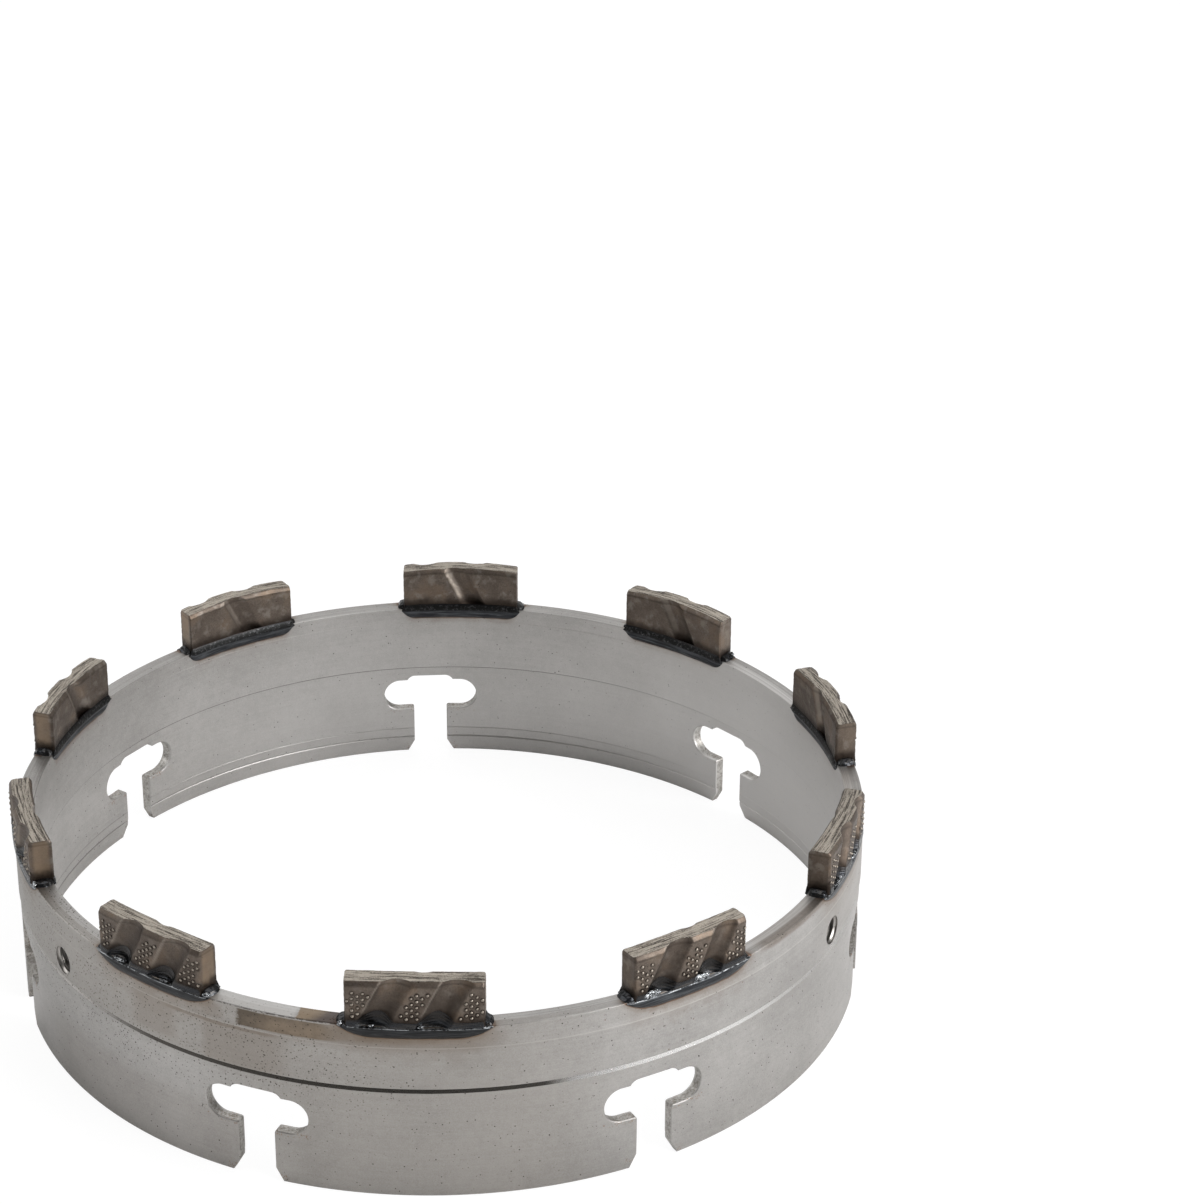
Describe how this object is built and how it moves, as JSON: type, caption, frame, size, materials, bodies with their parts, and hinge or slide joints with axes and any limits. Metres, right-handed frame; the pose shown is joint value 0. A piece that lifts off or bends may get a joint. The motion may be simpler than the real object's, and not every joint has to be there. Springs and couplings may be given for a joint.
{
  "type": "core drill bit ring",
  "caption": "Thin-walled steel cutting ring with fluted diamond segments brazed on its rim and T-shaped bayonet slots at its foot.",
  "frame": {"origin": "centre of the ring on the plane of its foot", "axes": "+Z along the ring's axis, from the foot to the cutting segments"},
  "size_m": [0.1614, 0.162, 0.0444],
  "materials": {
    "steel": "turned, with heat tint and a few rust specks",
    "segment": "sintered metal, rough and pitted",
    "braze": "dark, smooth, glossy weld"
  },
  "bodies": {
    "root": {"ring_body": "steel", "segment_01": "segment", "segment_02": "segment", "segment_03": "segment", "segment_04": "segment", "segment_05": "segment", "segment_06": "segment", "segment_07": "segment", "segment_08": "segment", "segment_09": "segment", "segment_10": "segment", "braze_seam_01": "braze", "braze_seam_02": "braze", "braze_seam_03": "braze", "braze_seam_04": "braze", "braze_seam_05": "braze", "braze_seam_06": "braze", "braze_seam_07": "braze", "braze_seam_08": "braze", "braze_seam_09": "braze", "braze_seam_10": "braze"}
  },
  "joints": []
}
